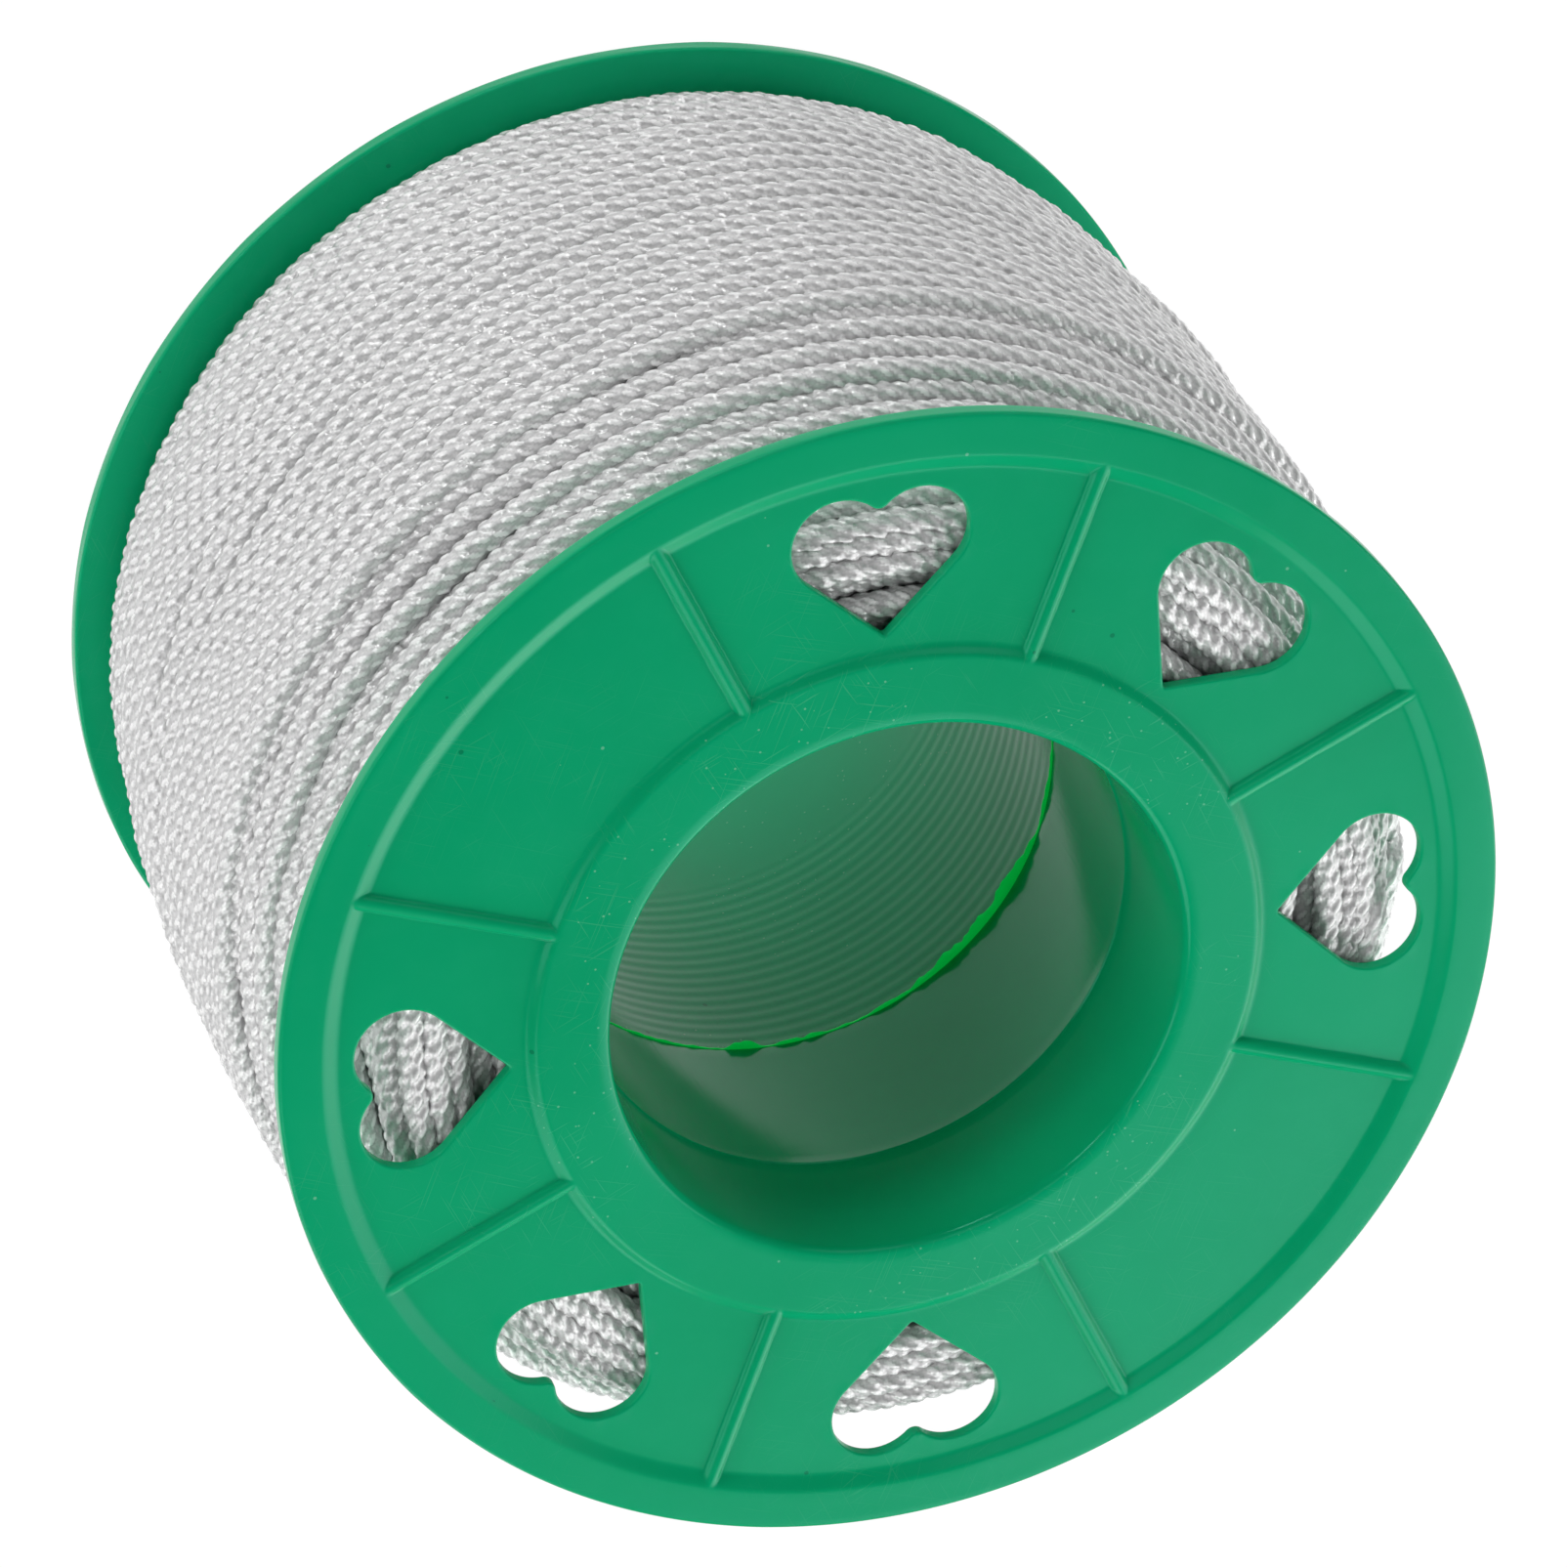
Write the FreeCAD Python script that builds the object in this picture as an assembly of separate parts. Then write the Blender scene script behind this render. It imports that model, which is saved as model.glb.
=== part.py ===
import FreeCAD, Part
import math
import os

# Flanged line spool: two moulded halves that plug together in the middle of the hub, and the wound cord between them.
# Millimetres. The spool's axis is Z, the rear flange's outer face is on z = 0 and the front flange's outer face is at the top.

# ---- driving dimensions ----
FLANGE_R = 50.0            # outer radius of both flanges
LENGTH = 72.4              # overall length over the two outer faces
RIM_T = 1.6                # thickness at the rim ring
FIELD_DEPTH = 0.6          # how far the field between rim ring and hub ring is sunk
RIM_RING_IN = 46.45        # rim ring: inner edge of its flat
RIM_SLOPE_IN = 45.3        # foot of the slope from the rim ring to the field
HUB_SLOPE_OUT = 30.3       # foot of the slope from the field up to the hub ring
HUB_RING_OUT = 29.55       # hub ring: outer edge of its flat
BORE_MOUTH_R = 0.7         # rounding where the bore meets the hub ring
RIM_EDGE_R = 0.3           # rounding of the rim's outer edges

BORE_R_FRONT = 23.3        # front half: radius of the bore's front land
BORE_LAND = 12.9           # depth of that land's end below the front face
BORE_R_JOINT = 23.9        # front half: bore radius at the inner end, widening from the land
BORE_R_REAR = 24.25        # rear half: bore radius
JOINT_DEPTH = 32.5         # where the front half ends inside the bore, below the front face
HUB_R = 25.4               # outside of the hub, where the cord starts
LAP_LENGTH = 6.0           # length of the lap between the two halves
LAP_R = 24.8               # outside of the front half's spigot
LAP_GAP = 0.03             # radial room round the spigot

RIB_COUNT = 8              # half-round ribs on each outer face
RIB_START_DEG = 25.0
RIB_R = 0.72               # radius of the rib's round
RIB_SINK = 0.14            # how far the centre of that round lies below the field
RIB_OUT = 46.2
RIB_IN = 29.7

HEART_AZ = (2.5, 47.5, 92.5, 182.5, 227.5, 272.5)
HEART_LOBE_R = 3.85        # the two lobes
HEART_LOBE_U = 39.85       # their centres' distance from the axis, along the heart's own axis
HEART_LOBE_V = 3.2         # and to each side of it
HEART_TIP_U = 31.55        # where the straight sides would meet
HEART_TIP_R = 0.25         # rounding of the tip
HEART_NOTCH_R = 0.9        # rounding of the notch between the lobes

WIND_GAP = 0.6             # room between the cord and each flange
WIND_IN = 25.5             # inside of the winding
# outer shape of the winding: (distance from the rear flange's inner face, radius)
WIND_SHAPE = (
    (0.6, 45.6), (1.4, 46.3), (4.0, 47.6), (8.5, 48.8), (14.0, 49.5), (24.0, 49.8), (42.0, 49.8),
    (50.0, 49.3), (55.0, 48.0), (59.0, 46.3), (62.5, 44.4), (65.5, 42.6), (67.6, 41.2), (68.6, 40.5),
)

INNER_GAP = LENGTH - 2 * RIM_T


def vec(x, y, z):
    return FreeCAD.Vector(x, y, z)


AXIS = vec(0, 0, 1)
ORIGIN = vec(0, 0, 0)


def lathe(edges):
    """Turn a closed outline in the XZ plane about the axis."""
    face = Part.Face(Part.Wire(Part.__sortEdges__(edges)))
    return face.revolve(ORIGIN, AXIS, 360)


def outline(points):
    """Straight edges and arcs: a point is (r, z), an arc's middle is ("arc", r, z)."""
    edges = []
    n = len(points)
    i = 0
    while i < n:
        a = points[i]
        b = points[(i + 1) % n]
        if b[0] == "arc":
            c = points[(i + 2) % n]
            edges.append(Part.Arc(vec(a[0], 0, a[1]), vec(b[1], 0, b[2]), vec(c[0], 0, c[1])).toShape())
            i += 2
        else:
            edges.append(Part.LineSegment(vec(a[0], 0, a[1]), vec(b[0], 0, b[1])).toShape())
            i += 1
    return edges


def quarter(cr, cz, radius, deg):
    """The middle of a round: the point at an angle on a circle in the outline's plane."""
    a = math.radians(deg)
    return ("arc", cr + radius * math.cos(a), cz + radius * math.sin(a))


def heart_wire():
    """The heart, its own axis along +X, as straight edges and arcs in the plane z = 0."""
    cu, cv, lr = HEART_LOBE_U, HEART_LOBE_V, HEART_LOBE_R
    # straight side: tangent from the tip to the lobe
    dist = math.hypot(cu - HEART_TIP_U, cv)
    half = math.atan2(cv, cu - HEART_TIP_U) + math.asin(lr / dist)
    run = math.sqrt(dist * dist - lr * lr)
    tu, tv = HEART_TIP_U + run * math.cos(half), run * math.sin(half)
    # rounded tip, tangent to both sides
    tip_c = HEART_TIP_U + HEART_TIP_R / math.sin(half)
    back = HEART_TIP_R / math.tan(half)
    pu, pv = HEART_TIP_U + back * math.cos(half), back * math.sin(half)
    # rounded notch, tangent to both lobes
    nc = cu + math.sqrt((lr + HEART_NOTCH_R) ** 2 - cv * cv)
    k = lr / (lr + HEART_NOTCH_R)
    nu, nv = cu + (nc - cu) * k, cv - cv * k
    # top of the lobe: a point between its two ends, on the far side from the tip
    a0 = math.atan2(tv - cv, tu - cu)
    a1 = math.atan2(nv - cv, nu - cu)
    am = 0.5 * (a0 + a1)
    mu, mv = cu + lr * math.cos(am), cv + lr * math.sin(am)
    p = lambda u, v: vec(u, v, 0)
    edges = [
        Part.LineSegment(p(pu, pv), p(tu, tv)).toShape(),
        Part.Arc(p(tu, tv), p(mu, mv), p(nu, nv)).toShape(),
        Part.Arc(p(nu, nv), p(nc - HEART_NOTCH_R, 0), p(nu, -nv)).toShape(),
        Part.Arc(p(nu, -nv), p(mu, -mv), p(tu, -tv)).toShape(),
        Part.LineSegment(p(tu, -tv), p(pu, -pv)).toShape(),
        Part.Arc(p(pu, -pv), p(tip_c - HEART_TIP_R, 0), p(pu, pv)).toShape(),
    ]
    return Part.Wire(Part.__sortEdges__(edges))


def rib(az):
    """One half-round rib, lying on the field of a flange whose outer face is on z = 0 and whose body is below it."""
    z = -FIELD_DEPTH - RIB_SINK
    bar = Part.makeCylinder(RIB_R, RIB_OUT - RIB_IN, vec(RIB_IN, 0, z), vec(1, 0, 0))
    keep = Part.makeBox(RIB_OUT - RIB_IN + 2, 4 * RIB_R, 2 * RIB_R, vec(RIB_IN - 1, -2 * RIB_R, -FIELD_DEPTH - 0.3))
    shape = bar.common(keep)
    shape.rotate(ORIGIN, AXIS, az)
    return shape


def half(hub_outline):
    """A moulded half, its outer face on z = 0 and its hub below: rim, rings, field, ribs, heart holes and hub."""
    m, e = BORE_MOUTH_R, RIM_EDGE_R
    bore_r = hub_outline[0][0]
    points = [
        (bore_r + m, 0.0),
        (HUB_RING_OUT, 0.0), (HUB_SLOPE_OUT, -FIELD_DEPTH), (RIM_SLOPE_IN, -FIELD_DEPTH), (RIM_RING_IN, 0.0),
        (FLANGE_R - e, 0.0), quarter(FLANGE_R - e, -e, e, 45), (FLANGE_R, -e),
        (FLANGE_R, -RIM_T + e), quarter(FLANGE_R - e, -RIM_T + e, e, -45), (FLANGE_R - e, -RIM_T),
        (HUB_R, -RIM_T),
    ]
    points += list(reversed(hub_outline))
    points += [quarter(bore_r + m, -m, m, 135)]
    body = lathe(outline(points))
    for k in range(RIB_COUNT):
        body = body.fuse(rib(RIB_START_DEG + 360.0 / RIB_COUNT * k))
    heart = Part.Face(heart_wire()).extrude(vec(0, 0, 4.0))
    for az in HEART_AZ:
        h = heart.copy()
        h.translate(vec(0, 0, -3.0))
        h.rotate(ORIGIN, AXIS, az)
        body = body.cut(h)
    body = body.removeSplitter()
    return body.Solids[0] if len(body.Solids) == 1 else body


os.makedirs("parts", exist_ok=True)

# Front half: flange, hub and the spigot that plugs into the rear half.
lap_top = -(JOINT_DEPTH - LAP_LENGTH)
front_hub = [
    (BORE_R_FRONT, -BORE_MOUTH_R), (BORE_R_FRONT, -BORE_LAND), (BORE_R_JOINT, -JOINT_DEPTH),
    (LAP_R, -JOINT_DEPTH), (LAP_R, lap_top), (HUB_R, lap_top),
]
front = half(front_hub)
front.translate(vec(0, 0, LENGTH))

# Rear half: the same flange the other way up, with the longer hub and the socket round the spigot.
rear_len = LENGTH - (JOINT_DEPTH - LAP_LENGTH)
socket_foot = LENGTH - JOINT_DEPTH
socket_r = LAP_R + LAP_GAP
rear_hub = [
    (BORE_R_REAR, -BORE_MOUTH_R), (BORE_R_REAR, -socket_foot), (socket_r, -socket_foot),
    (socket_r, -rear_len), (HUB_R, -rear_len),
]
rear = half(rear_hub)
rear.rotate(ORIGIN, vec(math.cos(math.radians(47.5)), math.sin(math.radians(47.5)), 0), 180)

# The wound cord: one closed ring of its outer shape.
wind_points = [(WIND_IN, RIM_T + WIND_GAP)]
wind_points += [(r, RIM_T + s) for s, r in WIND_SHAPE]
wind_points += [(WIND_IN, RIM_T + INNER_GAP - WIND_GAP)]
winding = lathe(outline(wind_points))

nodes = {"front_flange": front, "rear_flange": rear, "line_winding": winding}
for name, shape in nodes.items():
    solids = shape.Solids
    print(name, "solids", len(solids), "valid", shape.isValid(), "closed", all(s.isClosed() for s in solids),
          "volume %.1f" % shape.Volume, "box", [round(v, 3) for v in (
              shape.BoundBox.XMin, shape.BoundBox.YMin, shape.BoundBox.ZMin,
              shape.BoundBox.XMax, shape.BoundBox.YMax, shape.BoundBox.ZMax)])
    shape.exportStep("parts/%s.step" % name)
names = list(nodes)
for i, a in enumerate(names):
    for b in names[i + 1:]:
        print(a, b, "shared volume %.4f" % nodes[a].common(nodes[b]).Volume)
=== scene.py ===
import math

import bpy
import numpy as np
from mathutils import Matrix, Vector
from mathutils.geometry import delaunay_2d_cdt

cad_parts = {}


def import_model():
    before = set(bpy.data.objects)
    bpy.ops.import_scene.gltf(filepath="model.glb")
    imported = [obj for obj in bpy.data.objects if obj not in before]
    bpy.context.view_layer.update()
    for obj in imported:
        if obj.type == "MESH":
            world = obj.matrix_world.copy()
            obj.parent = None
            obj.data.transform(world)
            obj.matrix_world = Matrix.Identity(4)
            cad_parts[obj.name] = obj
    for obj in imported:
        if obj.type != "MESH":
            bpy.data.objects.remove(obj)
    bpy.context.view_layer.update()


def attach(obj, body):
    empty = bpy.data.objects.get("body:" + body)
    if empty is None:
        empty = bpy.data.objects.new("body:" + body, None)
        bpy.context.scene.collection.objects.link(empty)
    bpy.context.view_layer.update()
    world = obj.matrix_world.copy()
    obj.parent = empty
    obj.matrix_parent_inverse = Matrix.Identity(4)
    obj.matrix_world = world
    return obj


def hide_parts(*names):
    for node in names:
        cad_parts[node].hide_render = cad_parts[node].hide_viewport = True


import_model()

MM = 0.001
TAU = 2.0 * math.pi

# ------------------------------------------------------------------ sizes, in millimetres, as in the construction
LENGTH = 72.4
RIM_T = 1.6
FIELD = 0.6
FLANGE_R = 50.0
BORE_MOUTH = 0.7
HUB_R = 25.4
LAND = 12.9
JOINT = 32.5
LAP = 6.0
RIB_R, RIB_SINK, RIB_IN, RIB_OUT = 0.72, 0.14, 29.7, 46.2
HEARTS = (2.5, 47.5, 92.5, 182.5, 227.5, 272.5)
LOBE_R, LOBE_U, LOBE_V, TIP_U, TIP_R, NOTCH_R = 3.85, 39.85, 3.2, 31.55, 0.25, 0.9
CORD_R = 1.25
Z_LO, Z_HI = RIM_T, LENGTH - RIM_T


# ------------------------------------------------------------------ small helpers
def smooth(v, sigma):
    n = int(3 * sigma + 1)
    k = np.exp(-0.5 * (np.arange(-n, n + 1) / sigma) ** 2)
    k /= k.sum()
    return np.convolve(np.pad(v, n, mode="edge"), k, "valid")


def mesh_object(name, verts_mm, quads=None, tris=None, uv=None, shade=True):
    """A mesh from arrays. uv: {layer name: (loops, 2)} in the order quads first, then tris."""
    me = bpy.data.meshes.new(name)
    quads = np.zeros((0, 4), np.int32) if quads is None else np.asarray(quads, np.int32)
    tris = np.zeros((0, 3), np.int32) if tris is None else np.asarray(tris, np.int32)
    nv, nq, nt = len(verts_mm), len(quads), len(tris)
    me.vertices.add(nv)
    me.vertices.foreach_set("co", (np.asarray(verts_mm, np.float64) * MM).astype(np.float32).ravel())
    loops = np.concatenate([quads.ravel(), tris.ravel()])
    me.loops.add(len(loops))
    me.loops.foreach_set("vertex_index", loops)
    me.polygons.add(nq + nt)
    start = np.concatenate([np.arange(nq) * 4, nq * 4 + np.arange(nt) * 3])
    me.polygons.foreach_set("loop_start", start.astype(np.int32))
    me.update(calc_edges=True)
    if shade:
        me.polygons.foreach_set("use_smooth", np.ones(nq + nt, bool))
    for layer, data in (uv or {}).items():
        me.uv_layers.new(name=layer).data.foreach_set("uv", np.asarray(data, np.float32).ravel())
    me.validate()
    ob = bpy.data.objects.new(name, me)
    bpy.context.scene.collection.objects.link(ob)
    return ob


class Nodes:
    """Short way to write a node tree."""

    def __init__(self, name):
        self.mat = bpy.data.materials.new(name)
        self.mat.use_nodes = True
        self.t = self.mat.node_tree
        self.t.nodes.clear()
        self.out = self.t.nodes.new("ShaderNodeOutputMaterial")
        self.p = self.t.nodes.new("ShaderNodeBsdfPrincipled")
        self.t.links.new(self.p.outputs[0], self.out.inputs[0])

    def n(self, kind, **values):
        node = self.t.nodes.new("ShaderNode" + kind)
        for k, v in values.items():
            if hasattr(node, k):
                setattr(node, k, v)
            else:
                node.inputs[k.replace("_", " ")].default_value = v
        return node

    def link(self, a, b):
        self.t.links.new(a, b)

    def math(self, op, a, b=None, c=None, clamp=False):
        node = self.t.nodes.new("ShaderNodeMath")
        node.operation = op
        node.use_clamp = clamp
        for i, v in enumerate((a, b, c)):
            if v is None:
                continue
            if isinstance(v, (int, float)):
                node.inputs[i].default_value = v
            else:
                self.link(v, node.inputs[i])
        return node.outputs[0]

    def mix(self, fac, a, b, blend="MIX"):
        node = self.t.nodes.new("ShaderNodeMix")
        node.data_type = "RGBA"
        node.blend_type = blend
        for sock, v in ((node.inputs[0], fac), (node.inputs[6], a), (node.inputs[7], b)):
            if isinstance(v, (int, float)):
                sock.default_value = v
            elif isinstance(v, tuple):
                sock.default_value = (*v, 1.0) if len(v) == 3 else v
            else:
                self.link(v, sock)
        return node.outputs[2]

    def ramp(self, fac, stops, interp="LINEAR"):
        node = self.t.nodes.new("ShaderNodeValToRGB")
        cr = node.color_ramp
        cr.interpolation = interp
        while len(cr.elements) < len(stops):
            cr.elements.new(0.5)
        for e, (pos, col) in zip(cr.elements, stops):
            e.position = pos
            e.color = (*col, 1.0) if isinstance(col, tuple) else (col, col, col, 1.0)
        self.link(fac, node.inputs[0])
        return node.outputs[0]

    def bump(self, height, strength, distance, normal=None):
        node = self.n("Bump", Strength=strength, Distance=distance)
        self.link(height, node.inputs["Height"])
        if normal is not None:
            self.link(normal, node.inputs["Normal"])
        return node.outputs[0]


# ------------------------------------------------------------------ the camera
cam_data = bpy.data.cameras.new("camera")
cam = bpy.data.objects.new("camera", cam_data)
bpy.context.scene.collection.objects.link(cam)
CAM = Vector((-0.15015, 0.28550, 0.51627))
RIGHT = Vector((0.95337648, 0.0, 0.30178351))
UP = Vector((0.14931675, 0.8690177, -0.47171257))
BACK = Vector((-0.26225521, 0.494781, 0.82850103))
cam.matrix_world = Matrix((
    (RIGHT.x, UP.x, BACK.x, CAM.x),
    (RIGHT.y, UP.y, BACK.y, CAM.y),
    (RIGHT.z, UP.z, BACK.z, CAM.z),
    (0, 0, 0, 1),
))
cam_data.sensor_width = 36.0
cam_data.sensor_fit = "HORIZONTAL"
cam_data.lens = 161.46
cam_data.clip_start, cam_data.clip_end = 0.02, 20.0
bpy.context.scene.camera = cam


# ------------------------------------------------------------------ laying the cord
# outer shape of the winding: distance above the rear flange's outer face, and radius
SHAPE_Z = (1.6, 3.0, 5.6, 10.1, 15.6, 25.6, 43.6, 51.6, 56.6, 60.6, 64.1, 67.1, 69.2, 70.8)
SHAPE_R = (46.0, 46.6, 47.8, 49.0, 49.7, 50.2, 50.2, 49.6, 48.2, 46.5, 44.6, 42.8, 41.4, 40.4)
NT, DZ = 720, 0.125


def wind(seed=1, layers=11, step_r=2.30, lam=0.45, lay_r=1.195, pitch=2.47, wild=1.35):
    """Lays the whole length turn by turn: each turn slips towards the nearest dip and lies on what is under it."""
    rng = np.random.default_rng(seed)
    nz = int(round((Z_HI - Z_LO) / DZ)) + 1
    zgrid = Z_LO + DZ * np.arange(nz)
    target = np.interp(zgrid, SHAPE_Z, SHAPE_R)
    H = np.full((NT, nz), HUB_R)
    offs = np.arange(-8, 9)
    under = np.sqrt(np.maximum(lay_r ** 2 - (offs * DZ) ** 2, 0))
    toff = np.arange(-10, 11)
    over = np.sqrt(np.maximum(CORD_R ** 2 - (toff * DZ) ** 2, 0))
    rows = np.arange(NT)[:, None]
    slip = np.arange(-8, 9)
    allk = np.arange(-16, 17)
    ang = np.arange(NT) / NT
    zs, rs, ls = [], [], []
    low, high = Z_LO + 0.12 + CORD_R, Z_HI - 0.12 - CORD_R
    last_d = 0.0
    z_now = low

    def lay(z0, z1, w0, w1, wave, lo, hi, nominal, layer):
        nonlocal last_d
        zt = np.clip(z0 + (z1 - z0) * ang + wave + w0 + (w1 - w0) * ang, lo, hi)
        idx = np.rint((zt - Z_LO) / DZ).astype(int)
        G = H[rows, np.clip(idx[:, None] + allk[None, :], 0, nz - 1)]
        D = np.stack([(G[:, k:k + len(offs)] + under[None, :]).max(1) for k in range(len(slip))], 1)
        zc = zt[:, None] + slip[None, :] * DZ
        cost = D + lam * (slip[None, :] * DZ) ** 2 + np.where((zc < lo - 1e-9) | (zc > hi + 1e-9), 50.0, 0.0)
        cost -= cost.min(1, keepdims=True)
        wgt = np.exp(-cost / 0.06)
        dl = (wgt * slip[None, :] * DZ).sum(1) / wgt.sum(1)
        dl = smooth(np.concatenate([np.full(30, last_d), dl]), 8)[30:]
        z = np.clip(zt + dl, lo, hi)
        last_d = float(dl[-1])
        ii = np.rint((z - Z_LO) / DZ).astype(int)
        rc = (H[rows, np.clip(ii[:, None] + offs[None, :], 0, nz - 1)] + under[None, :]).max(1)
        up = np.maximum.reduce([np.roll(rc, k) for k in (-4, -2, 0, 2, 4)])
        r = 0.4 * smooth(up, 5) + 0.6 * smooth(rc, 5)
        # the line's pull presses a hill down into the turns under it
        r = np.where(r > nominal, nominal + 0.62 * (r - nominal), r)
        gi = np.clip(ii[:, None] + toff[None, :], 0, nz - 1)
        np.maximum.at(H, (np.broadcast_to(rows, gi.shape), gi), r[:, None] + over[None, :])
        zs.append(z)
        rs.append(r)
        ls.append(np.full(NT, layer))

    for layer in range(layers):
        top = HUB_R + step_r * (layer + 1)
        nominal = top - CORD_R
        edge = top - 1.1
        hi, lo = high, low
        if edge > SHAPE_R[-1]:
            hi = min(hi, float(np.interp(-edge, [-r for r in SHAPE_R[6:]], SHAPE_Z[6:])) - 1.1)
        if edge > SHAPE_R[0]:
            lo = max(lo, float(np.interp(edge, SHAPE_R[:6], SHAPE_Z[:6])) + 1.1)
        direction = 1 if layer % 2 == 0 else -1
        z_now = max(lo, min(hi, z_now))
        far = hi if direction > 0 else lo
        n = max(1, int(round(abs(far - z_now) / pitch)))
        step = (far - z_now) / n
        amp = wild * (0.12 + 0.042 * layer)
        wob = [(m, rng.uniform(0, TAU), rng.normal(0, 1)) for m in range(1, 7)]
        drift = np.cumsum(rng.normal(0, 1, n + 2))
        drift -= np.linspace(drift[0], drift[-1], n + 2)
        drift = drift / (abs(drift).max() + 1e-9) * amp * 1.3
        jump = rng.normal(0, 1, n + 2) * amp * 0.22

        def wave(t):
            w = np.zeros(NT)
            for q, (m, p, a) in enumerate(wob):
                w += a / m ** 0.8 * np.cos(TAU * m * ang + p + 0.10 * (q + 1) * t)
            return w * amp * 0.75

        for t in range(n):
            lay(z_now, z_now + step, drift[t] + jump[t], drift[t + 1] + jump[t + 1], wave(t), lo, hi, nominal, layer)
            z_now += step
        # a few more turns where the end of the layer is still low
        reach = 16.0 if layer == layers - 1 else 8.0
        for extra in range(12 if layer == layers - 1 else 3):
            want = np.minimum(target, top) if layer < layers - 1 else target
            lack = smooth((want[None, :] - H).mean(0), 6.0)
            span = (zgrid > far - reach) & (zgrid < far + reach) & (zgrid >= low) & (zgrid <= high)
            lack = np.where(span, lack, -9.0)
            k = int(np.argmax(lack))
            if lack[k] < (1.9 if layer == layers - 1 else 1.7):
                break
            z_to = float(zgrid[k])
            lay(z_now, z_to, 0.0, 0.0, wave(n + extra) * 0.7, low, high, min(nominal, float(target[k]) - CORD_R), layer)
            lay(z_to, z_to, 0.0, 0.0, wave(n + extra) * 0.7, low, high, min(nominal, float(target[k]) - CORD_R), layer)
            z_now = z_to
    return H, smooth(np.concatenate(zs), 3), smooth(np.concatenate(rs), 3), np.concatenate(ls)


H, CZ, CR, CL = wind()

# the outermost turns press down or ride up to one even outer shape; the turns well below it stay where they were laid
shape = np.interp(CZ, SHAPE_Z, SHAPE_R) - CORD_R - 0.45
rel = CR - shape
part = np.clip((rel + 2.5) / 1.2, 0.0, 1.0)
part = part * part * (3.0 - 2.0 * part)
CR = smooth((1.0 - part) * CR + part * (shape + 0.62 * np.tanh(rel / 1.15)), 6)
H = np.full_like(H, HUB_R)
_row = np.arange(len(CZ)) % NT
_col = np.rint((CZ - Z_LO) / DZ).astype(int)
for _k in range(-10, 11):
    np.maximum.at(H, (_row, np.clip(_col + _k, 0, H.shape[1] - 1)), CR + math.sqrt(max(CORD_R ** 2 - (_k * DZ) ** 2, 0.0)))
NS = len(CZ)
CTH = TAU * np.arange(NS) / NT
PATH = np.stack([CR * np.cos(CTH), CR * np.sin(CTH), CZ], 1)
ARC = np.concatenate([[0.0], np.cumsum(np.linalg.norm(np.diff(PATH, axis=0), axis=1))])
print("cord: %.1f m in %.1f turns, outer radius %.2f" % (ARC[-1] / 1000, NS / NT, float(H.max())))

# where a turn can be seen: from outside, or through the hearts by a flange
rowi = np.arange(NS) % NT
zi = np.rint((CZ - Z_LO) / DZ).astype(int)
seen = np.zeros(NS, bool)
for k in range(-7, 8):
    t = CR + math.sqrt(CORD_R ** 2 - (k * DZ) ** 2)
    seen |= t >= H[rowi, np.clip(zi + k, 0, H.shape[1] - 1)] - 0.30
deg = (np.degrees(CTH) % 360.0)
near_heart = np.zeros(NS, bool)
for az in HEARTS:
    near_heart |= np.abs((deg - az + 180.0) % 360.0 - 180.0) < 17.0
side_front = (CZ > Z_HI - 0.12 - CORD_R - 2.6) & near_heart & (CR > 28.5)
side_rear = (CZ < Z_LO + 0.12 + CORD_R + 2.6) & near_heart & (CR > 28.5)
fine = seen | side_front | side_rear


def grow(mask, n):
    out = mask.copy()
    for k in range(1, n + 1):
        out[k:] |= mask[:-k]
        out[:-k] |= mask[k:]
    return out


def runs_of(mask):
    m = np.concatenate([[0], mask.astype(int), [0]])
    d = np.diff(m)
    return list(zip(np.where(d == 1)[0], np.where(d == -1)[0]))


fine = ~grow(~grow(fine, 10), 6)
coarse = grow(~fine, 2)

# ------------------------------------------------------------------ the braid on the cord's surface
NCOL, OFFSET, PERIOD = 12, 5.0 / 12.0, 2.6
LEAN = math.radians(38.0)
DASH_A, DASH_B, DASH_H, CORE = 0.98, 0.40, 0.31, 0.99
COLW = TAU * 1.25 / NCOL


def braid(s, phi, salt):
    """Height of the surface over the cord's core: plump leaning stitches in staggered columns."""
    q = phi * (NCOL / TAU)
    j0 = np.floor(q + 0.5)
    best = np.zeros_like(s)
    ca, sa = math.cos(LEAN), math.sin(LEAN)
    for dj in (-2, -1, 0, 1, 2):
        j = j0 + dj
        x = s / PERIOD - OFFSET * j
        n0 = np.floor(x + 0.5)
        dq = (q - j) * COLW
        jm = np.mod(j, NCOL)
        for dn in (-1, 0, 1):
            k = n0 + dn
            ds = (x - k) * PERIOD
            a = ds * ca - dq * sa
            b = ds * sa + dq * ca
            rnd = np.mod(np.sin(k * 12.9898 + jm * 78.233 + salt) * 43758.5453, 1.0)
            e = 1.0 - (a / DASH_A) ** 2 - (b / DASH_B) ** 2
            h = DASH_H * (0.90 + 0.18 * rnd) * np.sqrt(np.maximum(e, 0.0)) * (1.0 + 0.10 * a / DASH_A)
            best = np.maximum(best, h)
    return best


def ring_angles(centre):
    """Angles round the cord: close together on the side that can be seen, and few on the other."""
    dense = np.linspace(-118, 118, 23)
    rest = np.array([145.0, 180.0, 215.0])
    return np.radians(np.concatenate([dense, rest]) + centre)


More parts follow.
